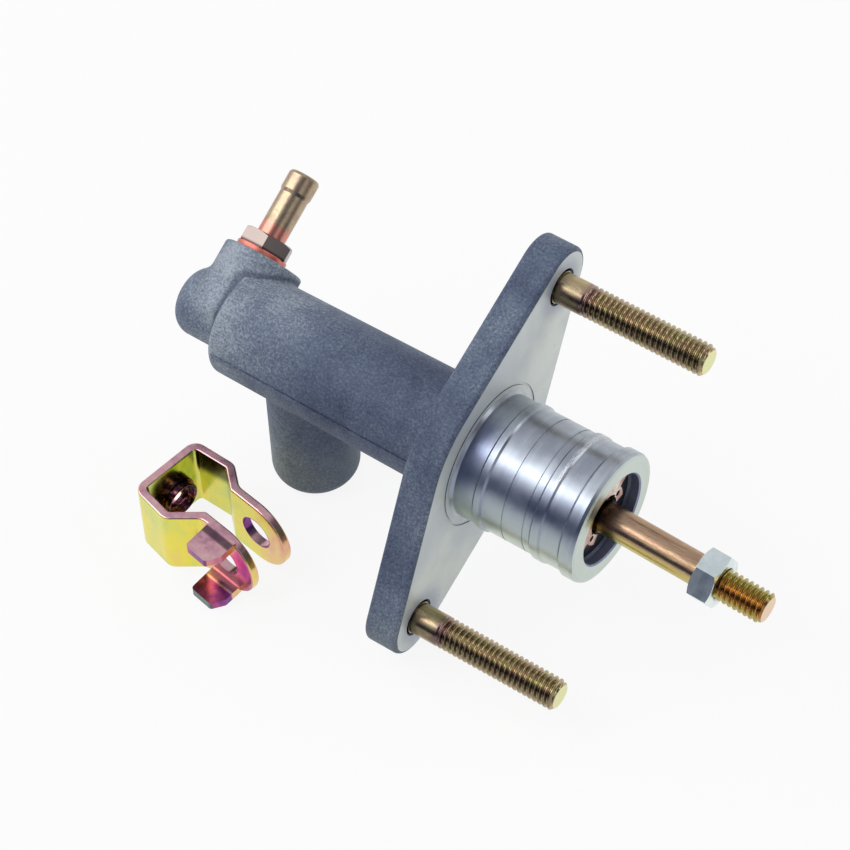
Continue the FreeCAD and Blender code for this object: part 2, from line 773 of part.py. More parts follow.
def clevis_side():
    """Side view of the strip: straight as far as the pin hole, then a round ear."""
    wide = 8 * ear_r
    slab = V(-5, -wide / 2, 0)
    ears = Part.makeCylinder(ear_r, wide, V(pin_hole_u, -wide / 2, clevis_height / 2), V(0, 1, 0))
    ears = ears.common(Part.makeBox(wide, wide, clevis_height, slab))
    return Part.makeBox(pin_hole_u + 5, wide, clevis_height, slab).fuse(ears)


def tab(z):
    """Flat tab folded outwards from the edge of the second arm."""
    root = arm_two_v + sheet / 4
    tip = arm_two_v - tab_reach
    points = [V(tab_start, root, z), V(tab_tip_start, tip, z), V(tab_tip_end, tip - tab_tip_drop, z),
              V(tab_shoulder_u, arm_two_v - tab_shoulder_reach, z), V(tab_end, root, z)]
    plate = Part.Face(Part.makePolygon(points + [points[0]])).extrude(V(0, 0, sheet))
    return round_bends(plate, points, tab_corner_r)


def make_clevis_boss():
    middle = V(sheet, 0, clevis_height / 2)
    tube = Part.makeCylinder(clevis_boss_r, clevis_boss_step, middle, V(1, 0, 0))
    tube = tube.fuse(Part.makeCylinder(clevis_boss_step_r, clevis_boss_length, middle, V(1, 0, 0)))
    tube = tube.cut(Part.makeCylinder(clevis_thread_r, clevis_boss_length + 2,
                                      V(sheet - 1, 0, clevis_height / 2), V(1, 0, 0)))
    return lay_clevis(tube)


def lay_clevis(shape):
    shape = shape.copy()
    shape.rotate(V(0, 0, 0), V(0, 0, 1), clevis_turn)
    shape.translate(V(clevis_x, clevis_y, clevis_floor_z))
    return shape


barrel, outlet_boss = make_barrel_and_outlet()
nodes = {
    "casting_barrel": barrel,
    "casting_outlet": outlet_boss,
    "casting_flange": make_flange(),
    "casting_spigot": make_spigot(),
    "flange_stud_upper": make_stud(1),
    "flange_stud_lower": make_stud(-1),
    "inlet_union": make_union(),
    "copper_washer": make_copper_washer(),
    "outlet_seat": make_outlet_seat(),
    "circlip": make_circlip(),
    "stop_washer": make_stop_washer(),
    "piston": make_piston(),
    "rear_seal": make_rear_seal(),
    "cup_shim": make_shim(),
    "primary_cup": make_primary_cup(),
    "spring_cage": make_spring_cage(),
    "valve_stem": make_valve_stem(),
    "valve_seal": make_valve_seal(),
    "valve_spacer": make_valve_spacer(),
    "valve_spring": make_valve_spring(),
    "return_spring": make_return_spring(),
    "pushrod": make_pushrod(),
    "lock_nut": make_lock_nut(),
    "clevis_yoke": make_clevis_yoke(),
    "clevis_boss": make_clevis_boss(),
}

os.makedirs("parts", exist_ok=True)
for name, shape in nodes.items():
    if not shape.isValid():
        print("not valid:", name)
    if len(shape.Solids) != 1:
        print("solids in", name, len(shape.Solids))
    shape.exportStep("parts/" + name + ".step")
    box = shape.BoundBox
    print(name, round(shape.Volume, 1), [round(v, 1) for v in (box.XMin, box.XMax, box.YMin, box.YMax,
                                                              box.ZMin, box.ZMax)])
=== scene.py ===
# %% [markdown]
# A clutch master cylinder, with the clevis of its pushrod laid beside it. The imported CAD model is
# loaded as a frame that never moves. Each step below adds one finish or one detailed piece to it,
# and everything is in metres, in the frame of the model.

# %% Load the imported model
import json
import math

import bmesh
import bpy
from mathutils import Matrix, Vector

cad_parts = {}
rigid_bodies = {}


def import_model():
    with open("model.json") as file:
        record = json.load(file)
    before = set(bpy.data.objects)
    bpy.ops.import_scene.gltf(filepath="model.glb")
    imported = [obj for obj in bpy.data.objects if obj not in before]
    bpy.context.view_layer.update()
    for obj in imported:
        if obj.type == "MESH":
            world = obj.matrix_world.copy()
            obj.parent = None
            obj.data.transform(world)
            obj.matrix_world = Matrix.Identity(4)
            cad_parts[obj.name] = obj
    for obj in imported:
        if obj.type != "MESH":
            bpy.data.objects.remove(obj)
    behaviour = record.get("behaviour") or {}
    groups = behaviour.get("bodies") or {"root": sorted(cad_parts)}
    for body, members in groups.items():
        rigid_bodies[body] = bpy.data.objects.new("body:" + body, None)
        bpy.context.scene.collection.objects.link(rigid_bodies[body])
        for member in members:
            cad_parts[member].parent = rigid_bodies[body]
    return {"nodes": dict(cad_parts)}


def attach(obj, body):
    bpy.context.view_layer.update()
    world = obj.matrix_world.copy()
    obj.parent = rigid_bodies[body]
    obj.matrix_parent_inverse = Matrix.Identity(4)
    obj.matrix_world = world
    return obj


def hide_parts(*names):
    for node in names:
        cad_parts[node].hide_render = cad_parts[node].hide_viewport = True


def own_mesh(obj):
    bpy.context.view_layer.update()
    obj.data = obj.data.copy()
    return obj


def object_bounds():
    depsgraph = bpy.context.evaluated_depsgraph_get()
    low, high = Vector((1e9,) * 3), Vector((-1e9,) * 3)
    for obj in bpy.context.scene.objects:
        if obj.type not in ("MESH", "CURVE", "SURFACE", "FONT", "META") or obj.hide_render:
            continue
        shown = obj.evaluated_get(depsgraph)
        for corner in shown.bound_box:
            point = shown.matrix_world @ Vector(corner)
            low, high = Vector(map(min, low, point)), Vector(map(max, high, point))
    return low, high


for leftover in list(bpy.data.objects):
    bpy.data.objects.remove(leftover)

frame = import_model()
cad = frame["nodes"]
box_at_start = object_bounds()

# %% [markdown]
# Materials and Geometry Nodes are both graphs of nodes. They could be drawn by hand in the editor,
# or each node and link could be a line of its own, which takes many lines. So one class adds a
# node of any type, and another wraps an output socket so that sums can be written as sums. The
# line `1 - mask` then makes a Math node by itself.


# %% Helpers for node graphs
class Wire:
    """An output socket. Arithmetic on it adds Math nodes to its graph."""

    def __init__(self, graph, node, output=0):
        self.graph = graph
        self.node = node
        self.socket = node.outputs[output] if len(node.outputs) else None

    def out(self, name):
        return Wire(self.graph, self.node, name)

    def __add__(self, other):
        return self.graph.sum("ADD", self, other)

    def __radd__(self, other):
        return self.graph.sum("ADD", other, self)

    def __sub__(self, other):
        return self.graph.sum("SUBTRACT", self, other)

    def __rsub__(self, other):
        return self.graph.sum("SUBTRACT", other, self)

    def __mul__(self, other):
        return self.graph.sum("MULTIPLY", self, other)

    def __truediv__(self, other):
        return self.graph.sum("DIVIDE", self, other)


class Graph:
    """A node tree that is being built."""

    def __init__(self, tree):
        self.tree = tree

    def add(self, kind, settings=None, sockets=None, output=0):
        """Adds one node: its settings first, then the values or wires of its sockets."""
        node = self.tree.nodes.new(kind)
        for name, value in (settings or {}).items():
            if name == "stops":
                self.set_stops(node.color_ramp, value)
            else:
                setattr(node, name, value)
        for name, value in (sockets or {}).items():
            self.feed(node.inputs[name], value)
        return Wire(self, node, output)

    def feed(self, socket, value):
        if isinstance(value, Wire):
            self.tree.links.new(value.socket, socket)
        else:
            socket.default_value = value

    def set_stops(self, ramp, stops):
        while len(ramp.elements) < len(stops):
            ramp.elements.new(1.0)
        for element, (place, colour) in zip(ramp.elements, stops):
            element.position = place
            element.color = colour

    def sum(self, operation, *values):
        return self.add("ShaderNodeMath", {"operation": operation}, dict(enumerate(values)))

    def step(self, value, start, end):
        """0 before start, 1 after end, smooth in between."""
        return self.add("ShaderNodeMapRange", {"interpolation_type": "SMOOTHSTEP"},
                        {"Value": value, "From Min": start, "From Max": end})

    def mix(self, mask, first, second):
        """Mix of two colours; mask 0 gives the first."""
        return self.add("ShaderNodeMix", {"data_type": "RGBA"}, {0: mask, 6: first, 7: second}, 2)

    def ramp(self, value, stops):
        return self.add("ShaderNodeValToRGB", {"stops": stops}, {"Fac": value})

    def noise(self, place, scale, detail, roughness, distortion=0.0):
        """Noise whose features are about 1 / scale metres wide."""
        return self.add("ShaderNodeTexNoise", {}, {
            "Vector": place, "Scale": scale, "Detail": detail, "Roughness": roughness,
            "Distortion": distortion})


# %% [markdown]
# A finish is a Principled shader with its colour, roughness and bump worked out over the surface.
# A picture could be wrapped round each piece, but then the surface has to be unwrapped first, and
# the picture gets coarse from close by. Noise does without both. It is measured on Object
# coordinates, in metres, so a pattern keeps its real size.


# %% Helpers for finishes
class Finish:
    """A material that is being made, with the wires that most finishes need."""

    def __init__(self, name):
        self.material = bpy.data.materials.new(name)
        self.material.use_nodes = True
        tree = self.material.node_tree
        tree.nodes.clear()
        self.graph = Graph(tree)
        coordinates = self.graph.add("ShaderNodeTexCoord")
        self.place = coordinates.out("Object")
        self.normal = coordinates.out("Normal")
        split = self.graph.add("ShaderNodeSeparateXYZ", {}, {0: self.place})
        self.x, self.y, self.z = (split.out(name) for name in "XYZ")
        facing = self.graph.add("ShaderNodeSeparateXYZ", {}, {0: self.normal})
        self.nx, self.ny, self.nz = (facing.out(name) for name in "XYZ")

    def stretched(self, along, across):
        """Object coordinates scaled along X and across it, for streaks."""
        return self.graph.add("ShaderNodeMapping", {}, {
            "Vector": self.place, "Scale": (along, across, across)})

    def cosine(self, vector, direction):
        """How far a vector points along a direction."""
        return self.graph.add("ShaderNodeVectorMath", {"operation": "DOT_PRODUCT"},
                              {0: vector, 1: tuple(direction)}, "Value")

    def painted_corner_shade(self, distance):
        """Mask for painted shade: 1 in corners and gaps narrower than the distance, 0 in the open.
        """
        openness = self.graph.add("ShaderNodeAmbientOcclusion", {"samples": 8},
                                  {"Distance": distance}, "AO")
        return 1 - openness

    def close(self, colour, roughness, metallic, height, strength, depth):
        """Ends the material. height is a wire of 0 to 1 that stands depth metres proud."""
        bump = self.graph.add("ShaderNodeBump", {}, {
            "Height": height, "Strength": strength, "Distance": depth})
        shader = self.graph.add("ShaderNodeBsdfPrincipled", {}, {
            "Base Color": colour, "Roughness": roughness, "Metallic": metallic, "Normal": bump})
        self.graph.add("ShaderNodeOutputMaterial", {}, {"Surface": shader})
        print("finish", self.material.name, "of", len(self.graph.tree.nodes), "nodes")
        return self.material


def grey(value):
    return (value, value, value, 1.0)


def rgb(red, green, blue):
    """Colour from 0 to 255 screen values."""
    def linear(c):
        c = c / 255
        return c / 12.92 if c <= 0.04045 else ((c + 0.055) / 1.055) ** 2.4
    return (linear(red), linear(green), linear(blue), 1.0)


# %% [markdown]
# The camera stands above and to the pedal side, with a long lens, as the photograph was taken. It
# could be aimed by eye. But then no edge could be compared with the photograph, so its place and
# its two axes were worked out from the outlines of the flange, the spigot and the studs.

# %% Camera
camera_place = Vector((0.296495, -0.415550, 0.663093))
camera_right = Vector((0.81807, 0.57441, -0.02856))
camera_down = Vector((0.43804, -0.65448, -0.61626))
focal_pixels = 3580
frame_pixels = 850

camera_data = bpy.data.cameras.new("camera")
camera = bpy.data.objects.new("camera", camera_data)
bpy.context.scene.collection.objects.link(camera)
up = -camera_down
back = camera_right.cross(up)
turn = Matrix((camera_right, up, back)).transposed()
camera.matrix_world = Matrix.Translation(camera_place) @ turn.to_4x4()
camera_data.sensor_width = 36
camera_data.lens = focal_pixels / frame_pixels * camera_data.sensor_width
camera_data.clip_start = 0.01
camera_data.clip_end = 50
bpy.context.scene.camera = camera
bpy.context.scene.view_settings.view_transform = "Standard"
print("lens", round(camera_data.lens, 1), "mm, away", round(camera_place.length, 3), "m")

# %% [markdown]
# Polished metal shows its surroundings, so the look of the plated parts is made by the room more
# than by their colour. To a camera ray the world is white. Metal sees the same white, dimmed in a
# few soft patches as in a real studio: overhead, at the far right, in a wide band low in front,
# and where the camera stands. They give round bars their dark band and flat faces their different
# greys. Dark cards round the part would do the same, but they would be in the way of other views.

# %% World
world = bpy.data.worlds.new("studio")
world.use_nodes = True
world.node_tree.nodes.clear()
studio = Graph(world.node_tree)
sky_direction = studio.add("ShaderNodeTexCoord").out("Generated")
rays = studio.add("ShaderNodeLightPath")


def dimmed(sky, direction, start, end, colour):
    """The sky with a soft patch of another colour round a direction; start and end are cosines."""
    cosine = studio.add("ShaderNodeVectorMath", {"operation": "DOT_PRODUCT"},
                        {0: sky_direction, 1: tuple(direction)}, "Value")
    return studio.mix(studio.step(cosine, start, end), sky, (*colour, 1.0))


sky_split = studio.add("ShaderNodeSeparateXYZ", {}, {0: sky_direction})
low_front = (studio.step(sky_split.out("Y"), -0.25, -0.60)
             * studio.step(sky_split.out("Z"), 0.60, 0.42))
overhead = Vector((-0.3, 0.45, 0.84)).normalized()
far_right = Vector((0.80, 0.45, 0.38)).normalized()
glossy_sky = dimmed(grey(1.0), overhead, 0.45, 0.95, (0.66, 0.67, 0.72))
glossy_sky = dimmed(glossy_sky, far_right, 0.72, 0.93, (0.06, 0.06, 0.09))
glossy_sky = studio.mix(low_front, glossy_sky, (0.02, 0.035, 0.10, 1.0))
glossy_sky = dimmed(glossy_sky, back, 0.88, 0.97, (0.10, 0.12, 0.16))
lit_sky = studio.add("ShaderNodeBackground", {}, {"Color": grey(1.0), "Strength": 0.55})
glossy_room = studio.add("ShaderNodeBackground", {}, {"Color": glossy_sky, "Strength": 1.0})
clear_sky = studio.add("ShaderNodeBackground", {}, {"Color": grey(1.0), "Strength": 1.0})
seen = studio.add("ShaderNodeMixShader", {}, {
    0: rays.out("Is Glossy Ray"), 1: lit_sky, 2: glossy_room})
camera_or_glass = studio.sum("MAXIMUM", rays.out("Is Camera Ray"), rays.out("Is Transmission Ray"))
whole = studio.add("ShaderNodeMixShader", {}, {0: camera_or_glass, 1: seen, 2: clear_sky})
studio.add("ShaderNodeOutputWorld", {}, {"Surface": whole})
bpy.context.scene.world = world
print("world of", len(world.node_tree.nodes), "nodes")

# %% [markdown]
# Three lamps light the part: a large key lamp from the left, a weaker one from the right, and a
# small square one near the camera that draws the bright line along every round bar. The world
# alone could light it, but so evenly that the casting would look flat.


# %% Lamps
def lamp(name, place, aim, size, power):
    data = bpy.data.lights.new(name, "AREA")
    data.shape = "RECTANGLE"
    data.size, data.size_y = size
    data.energy = power
    item = bpy.data.objects.new(name, data)
    item.location = place
    item.rotation_euler = (Vector(aim) - Vector(place)).to_track_quat("-Z", "Y").to_euler()
    bpy.context.scene.collection.objects.link(item)
    print(name, power, "watts")


middle = (-0.005, -0.005, 0.0)
left = -camera_right
lamp("key_lamp", tuple(back * 0.45 + left * 0.75 + up * 0.55), middle, (0.9, 0.9), 4.8)
lamp("fill_lamp", tuple(back * 0.35 - left * 0.85 + up * 0.35), middle, (0.5, 0.5), 1.6)
lamp("line_lamp", (-0.325, -0.440, 0.715), middle, (0.24, 0.24), 0.45)

# %% [markdown]
# The floor is a white sheet under the lowest point of the part. Lit by the lamps alone it would
# come out grey. So to the camera it glows nearly as bright as paper by itself, and the picture has
# a clean ground that still keeps a soft shadow. Metal mirrors the same glow, but only near the
# part: it fades outwards, because a sheet that shines to the horizon would wash out the low faces
# of the metal.

# %% Floor
floor_level = box_at_start[0].z
eye_glow, metal_glow = 0.88, 0.8
floor_mesh = bpy.data.meshes.new("floor")
reach = 2.5
floor_corners = [(-reach, -reach), (reach, -reach), (reach, reach), (-reach, reach)]
floor_mesh.from_pydata([(x, y, floor_level) for x, y in floor_corners], [], [(0, 1, 2, 3)])
floor = bpy.data.objects.new("floor", floor_mesh)
bpy.context.scene.collection.objects.link(floor)
paper = bpy.data.materials.new("paper")
paper.use_nodes = True
paper.node_tree.nodes.clear()
sheet = Graph(paper.node_tree)
matt = sheet.add("ShaderNodeBsdfDiffuse", {}, {"Color": grey(0.86)})
glow = sheet.add("ShaderNodeEmission", {}, {"Color": grey(1.0), "Strength": 1.0})
paths = sheet.add("ShaderNodeLightPath")
to_eye = sheet.sum("MAXIMUM", paths.out("Is Camera Ray"), paths.out("Is Transmission Ray"))
on_floor = sheet.add("ShaderNodeTexCoord").out("Object")
floor_place = sheet.add("ShaderNodeSeparateXYZ", {}, {0: on_floor})
floor_x, floor_y = floor_place.out("X"), floor_place.out("Y")
far = sheet.step(sheet.sum("SQRT", floor_x * floor_x + floor_y * floor_y), 0.14, 0.42)
to_metal = paths.out("Is Glossy Ray") * (metal_glow - far * metal_glow)
both = sheet.add("ShaderNodeMixShader", {}, {0: to_eye * eye_glow + to_metal, 1: matt, 2: glow})
sheet.add("ShaderNodeOutputMaterial", {}, {"Surface": both})
floor_mesh.materials.append(paper)
print("floor at", round(floor_level, 4))

# %% [markdown]
# The body is an aluminium casting that was blasted with shot: a dull blue grey with a sparkle of
# light and dark grains. The grains are too small to model, so they are noise in three sizes: wide
# for soft zones, middle for the mottle, and fine for the grain and the bump. Shade is painted
# darker into corners, which the Ambient Occlusion node finds, and into two creases at the head of
# the barrel: where the nose leaves it and where the inlet boss grows out of it. The underside is
# duller and greener.
#
# The front of the flange was faced on a machine. It could be a material slot of its own, but its
# rim is round, so one material turns pale and satin where the surface lies in that plane, with
# scuffs, painted blue shade in its corners and a bluer ring round each stud.

# %% Blasted casting
stud_offset = 0.043
stud_line = math.radians(45)
stud_centre = (0.0, stud_offset * math.cos(stud_line), stud_offset * math.sin(stud_line))
head_x, head_r, barrel_taper = -0.0735, 0.0134, 0.009


def blasted_casting():
    f = Finish("blasted_casting")
    g = f.graph
    zones = g.noise(f.place, 34, 1.0, 0.5, 0.3)
    mottle = g.noise(f.place, 210, 4.0, 0.6)
    grain = g.noise(f.place, 1700, 2.0, 0.8)
    pits = g.add("ShaderNodeTexVoronoi", {"feature": "F1"}, {"Vector": f.place, "Scale": 1500.0})
    fading = g.step(f.x, -0.070, -0.025) * 0.05
    # painted shade: darker in corners, found by Ambient Occlusion
    shade = zones * 0.40 + mottle * 0.16 + grain * 0.44 - f.painted_corner_shade(0.002) * 0.14 - fading + 0.01
    cast = g.ramp(shade, [
        (0.30, rgb(48, 59, 84)), (0.42, rgb(79, 91, 116)), (0.52, rgb(109, 121, 140)),
        (0.63, rgb(160, 169, 180))])

    from_head = f.x - head_x
    from_axis = g.sum("SQRT", f.y * f.y + f.z * f.z)
    proud = from_axis - head_r - from_head * barrel_taper
    # painted shade in the two creases at the head of the barrel
    nose_crease = (g.step(from_head, -0.0023, -0.0011) * g.step(from_head, 0.0007, -0.0003)
                   * g.step(proud, 0.0012, 0.0004))
    inlet_crease = (g.step(from_head, -0.0010, 0.0) * g.step(from_head, 0.0135, 0.0095)
                    * g.step(proud, 0.0018, 0.0009) * g.step(proud, 0.0001, 0.0004))
    painted_crease_shade = g.sum("MAXIMUM", nose_crease, inlet_crease)
    cast = g.mix(painted_crease_shade * 0.55, cast, rgb(46, 54, 82))

    below = g.step(f.z, -0.020, -0.036)
    dull = g.mix(g.step(grain, 0.4, 0.6), rgb(92, 101, 104), rgb(116, 124, 126))
    cast = g.mix(below * 0.5, cast, dull)

    stain_and_painted_light = g.noise(f.place, 60, 3.0, 0.5)
    plain = g.mix(g.step(stain_and_painted_light, 0.35, 0.65), rgb(202, 209, 212), rgb(220, 226, 222))
    folded = g.add("ShaderNodeVectorMath", {"operation": "MULTIPLY"},
                   {0: f.place, 1: (0.0, 1.0, 1.0)})
    folded = g.add("ShaderNodeVectorMath", {"operation": "ABSOLUTE"}, {0: folded})
    from_stud = g.add("ShaderNodeVectorMath", {"operation": "DISTANCE"},
                      {0: folded, 1: stud_centre}, "Value")
    ring = g.step(from_stud + (stain_and_painted_light - 0.5) * 0.004, 0.0105, 0.0045)
    plain = g.mix(ring * 0.6, plain, rgb(150, 160, 186))
    scuff = g.step(g.noise(f.place, 520, 2.0, 0.6), 0.68, 0.74)
    # scuffs, and painted blue shade in the corners of the faced front
    plain = g.mix(scuff * 0.3 + f.painted_corner_shade(0.006) * 0.3, plain, rgb(140, 150, 178))

    faced = g.step(f.nx, 0.975, 0.992) * g.step(f.x, -0.0006, -0.0004)
    colour = g.mix(faced, cast, plain)
    rough = 0.62 - faced * 0.14 + (grain - 0.5) * 0.2
    metal = 0.22 + faced * 0.2
    height = (grain * 0.8 + pits.out("Distance") * 0.4) * (1 - faced * 0.93)
    return f.close(colour, rough, metal, height, 0.6, 0.0002)


casting_finish = blasted_casting()

# %% [markdown]
# The spigot was turned on a lathe: grey aluminium with very fine rings round the axis. Grooves
# that fine could be modelled, but nobody would see their shape. So they are noise on one number
# only, the place along the axis, or on the end face the distance from it.
#
# Painted light and the wear of the real part are laid over them: a painted blue shade and
# reflection of the flange at the foot, a painted blue band along the shaded side, a painted
# reflection of the floor in pale green on the underside, pale green on the end face, walls inside
# the mouth that are dull and painted darker and bluer as shade, painted shade in corners, and
# white scratches on the edge of the second ridge, where it was pushed through the bulkhead.


# %% Turned metal
lathe_rings = 5200
ridge_x = 0.0241


def turned_metal(name, dark, pale, roughness):
    f = Finish(name)
    g = f.graph
    radius = g.sum("SQRT", f.y * f.y + f.z * f.z)
    end_face = g.step(g.sum("ABSOLUTE", f.nx), 0.75, 0.95)
    along = f.x * (1 - end_face) + radius * end_face
    fine_way = g.add("ShaderNodeCombineXYZ", {}, {0: along * lathe_rings})
    fine = g.noise(fine_way, 1.0, 3.0, 0.7)
    wide_way = g.add("ShaderNodeCombineXYZ", {}, {0: along * lathe_rings * 0.14})
    wide = g.noise(wide_way, 1.0, 2.0, 0.6)
    haze = g.noise(f.place, 95, 3.0, 0.6)
    colour = g.mix(g.step(haze * 0.6 + fine * 0.2 + wide * 0.2, 0.38, 0.62), dark, pale)

    # painted reflection of the floor: pale green on the underside; the end face is pale green too
    film_and_sheen = g.step(f.ny * -0.94 + f.nz * -0.34 + (haze - 0.5) * 0.4, 0.62, 0.95) + end_face * 0.8
    colour = g.mix(g.sum("MINIMUM", film_and_sheen, 1.0) * 0.75, colour, rgb(214, 226, 210))
    # painted shade: walls inside the mouth are darker and bluer, and rougher below
    inwards = g.step((f.y * f.ny + f.z * f.nz) / radius, -0.3, -0.7)
    colour = g.mix(inwards, colour, rgb(146, 152, 178))
    # painted blue shade and reflection of the flange at the foot of the spigot
    painted_foot_shade = (g.step(f.x + (haze - 0.5) * 0.004, 0.0085, 0.0025) * g.step(f.x, -0.001, 0.0)
            * g.step(f.nz * 0.79 - f.ny * 0.62, 0.72, 0.96))
    colour = g.mix(painted_foot_shade * 0.62, colour, rgb(70, 82, 128))
    # painted dark blue band along the shaded side
    shaded = g.step((f.z * 0.47 - f.y * 0.88) / radius, 0.80, 0.97) * (1 - end_face)
    colour = g.mix(shaded * 0.42, colour, rgb(88, 100, 142))
    # painted shade in corners
    colour = g.mix(f.painted_corner_shade(0.0016) * 0.2, colour, rgb(60, 68, 96))
    strokes = g.noise(f.stretched(9000, 900), 1.0, 2.0, 0.6)
    worn = (g.step(g.sum("ABSOLUTE", f.x - ridge_x), 0.0008, 0.0003)
            * g.step(strokes, 0.46, 0.54) * g.step(f.nz * 0.85 + f.ny * 0.5, 0.30, 0.65))
    colour = g.mix(worn * 0.8, colour, rgb(236, 238, 242))

    rough = roughness + (haze - 0.5) * 0.26 + (fine - 0.5) * 0.12 + inwards * 0.2 + worn * 0.25
    return f.close(colour, rough, 1.0, fine * 0.7 + wide * 0.3, 0.25, 0.00003)


spigot_finish = turned_metal("turned_spigot", rgb(160, 166, 176), rgb(190, 198, 205), 0.33)
inner_finish = turned_metal("turned_inner", rgb(140, 142, 150), rgb(180, 182, 188), 0.30)
brass_finish = turned_metal("turned_brass", rgb(168, 138, 78), rgb(214, 186, 120), 0.28)

# %% [markdown]
# Yellow zinc plate is a thin film, so it goes from gold to olive, pink and bronze over a few
# millimetres. One even colour would look like paint, so a ramp of those colours follows soft
# noise, drawn out along the bar. Shade is painted into the roots of the threads, which is what
# makes them readable.
#
# Studs, rod and union share that base. It is a class, because each of them then lays stains and
# painted light of its own over the colour before the material is closed.


# %% Yellow zinc plate on bars
class Zinc(Finish):
    """Yellow plate on a bar, before it is closed."""

    def __init__(self, name, stretch, stops):
        super().__init__(name)
        g = self.graph
        self.cloud = g.noise(self.place, 260, 3.0, 0.6)
        self.scratch = g.noise(self.stretched(300, 5200), 1.0, 3.0, 0.7)
        film_and_sheen = g.noise(self.stretched(*stretch), 1.0, 3.0, 0.6, 0.8)
        colour = g.ramp(film_and_sheen * 0.75 + self.cloud * 0.25, stops)
        colour = g.mix(g.step(self.scratch, 0.55, 0.75) * 0.25, colour, rgb(104, 86, 60))
        # painted shade in thread roots and corners
        self.colour = g.mix(self.painted_corner_shade(0.0010) * 0.9, colour, rgb(44, 34, 38))

    def stain_and_painted_light(self, mask, colour):
        self.colour = self.graph.mix(mask, self.colour, colour)

    def end(self, roughness):
        rough = roughness + (self.cloud - 0.5) * 0.12 + (self.scratch - 0.5) * 0.10
        return self.close(self.colour, rough, 1.0, self.scratch, 0.15, 0.00003)


stud_film = [
    (0.30, rgb(158, 154, 108)), (0.42, rgb(196, 184, 134)), (0.50, rgb(188, 160, 132)),
    (0.58, rgb(206, 192, 146)), (0.70, rgb(162, 164, 116))]
rod_film = [
    (0.30, rgb(150, 118, 102)), (0.44, rgb(190, 160, 130)), (0.52, rgb(170, 136, 114)),
    (0.62, rgb(202, 178, 132)), (0.74, rgb(178, 168, 112))]
tube_film = [
    (0.30, rgb(146, 142, 112)), (0.45, rgb(184, 168, 138)), (0.55, rgb(176, 150, 132)),
    (0.70, rgb(150, 146, 108))]
nut_x = 0.0595
inlet_angle = math.radians(28.3)
hexagon_top = 0.0213


def stud_zinc():
    """Purple where the thread begins, painted shade along the shaded side, and pale at the cut end.
    """
    f = Zinc("yellow_zinc_studs", (120, 420), stud_film)
    g = f.graph
    purple = (g.step(f.x + (f.cloud - 0.5) * 0.004, 0.0055, 0.0070)
              * g.step(f.x, 0.0105, 0.0085))
    f.stain_and_painted_light(purple * 0.45, rgb(132, 92, 116))
    side = g.step(f.z, -0.001, 0.001) * 2 - 1
    off_y, off_z = f.y - side * stud_centre[1], f.z - side * stud_centre[2]
    # painted shade: a dark band along the shaded side of each stud
    shaded = g.step(off_z * 0.47 - off_y * 0.88 + (f.cloud - 0.5) * 0.0012, 0.0025, 0.0036)
    f.stain_and_painted_light(shaded * g.step(f.nx, 0.97, 0.90) * 0.62, rgb(58, 44, 52))
    f.stain_and_painted_light(g.step(f.nx, 0.9, 0.97) * g.step(f.x, 0.0390, 0.0395), rgb(228, 228, 168))
    return f.end(0.26)


def rod_zinc():
    """Dark at the bore's mouth, reddish on the thread, painted yellow-green floor reflection below.
    """
    f = Zinc("yellow_zinc_rod", (60, 520), rod_film)
    g = f.graph
    # darker near the mouth of the bore
    dark_at_mouth = g.step(f.x + (f.cloud - 0.5) * 0.004, 0.0365, 0.0325)
    f.stain_and_painted_light(dark_at_mouth * 0.93, rgb(40, 44, 30))
    f.stain_and_painted_light(g.step(f.x, nut_x, nut_x + 0.001) * 0.8, rgb(176, 166, 88))
    # painted reflection of the floor: yellow green along the underside
    below = g.step(f.nz * -0.3 - f.ny * 0.9, 0.55, 0.95)
    f.stain_and_painted_light(below * 0.6, rgb(206, 196, 96))
    red = (g.step(f.x, nut_x, nut_x + 0.0065)
           * g.step(f.nz * 0.57 - f.ny * 0.82, 0.30, 0.85) * (1 - below))
    f.stain_and_painted_light(red * 0.8, rgb(158, 70, 42))
    f.stain_and_painted_light(g.step(f.nx, 0.9, 0.97) * g.step(f.x, 0.070, 0.072), rgb(234, 202, 170))
    return f.end(0.25)


def union_zinc():
    """Pink where the tube meets the hexagon, which is greyer itself, with painted shade under it.
    """
    f = Zinc("yellow_zinc_union", (420, 420), tube_film)
    g = f.graph
    up_tube = f.cosine(f.place, (0.0, math.cos(inlet_angle), math.sin(inlet_angle)))
    pink = g.step(up_tube + (f.cloud - 0.5) * 0.002, hexagon_top + 0.0037, hexagon_top + 0.0025)
    f.stain_and_painted_light(pink * 0.85, rgb(214, 138, 124))
    f.stain_and_painted_light(g.step(up_tube, hexagon_top + 0.0001, hexagon_top - 0.0001), rgb(148, 136, 130))
    # painted shade at the bottom of the hexagon, where it sits on the washer
    f.stain_and_painted_light(g.step(up_tube, 0.0182, 0.0176) * 0.8, rgb(60, 34, 34))
    return f.end(0.30)


stud_finish = stud_zinc()
rod_finish = rod_zinc()
union_finish = union_zinc()

# %% [markdown]
# The remaining metals are plain: the nut has clear zinc, the circlip is steel with pinkish stains,
# and the washer is soft copper. Each could have a function of its own, but they differ in little
# more than colour. So one function makes them all, from two shades, since no real plate is even.


# %% Plain bright finishes
def plated(name, dark, pale, roughness, metallic=1.0):
    """Even plate with faint clouds and painted shade in its corners."""
    f = Finish(name)
    g = f.graph
    cloud = g.noise(f.place, 230, 3.0, 0.6)
    fine = g.noise(f.place, 2600, 3.0, 0.6)
    colour = g.mix(g.step(cloud * 0.8 + fine * 0.2, 0.36, 0.64), dark, pale)
    # painted shade in corners
    colour = g.mix(f.painted_corner_shade(0.0012) * 0.6, colour, rgb(46, 44, 54))
    return f.close(colour, roughness + (cloud - 0.5) * 0.15, metallic, fine, 0.12, 0.00003)


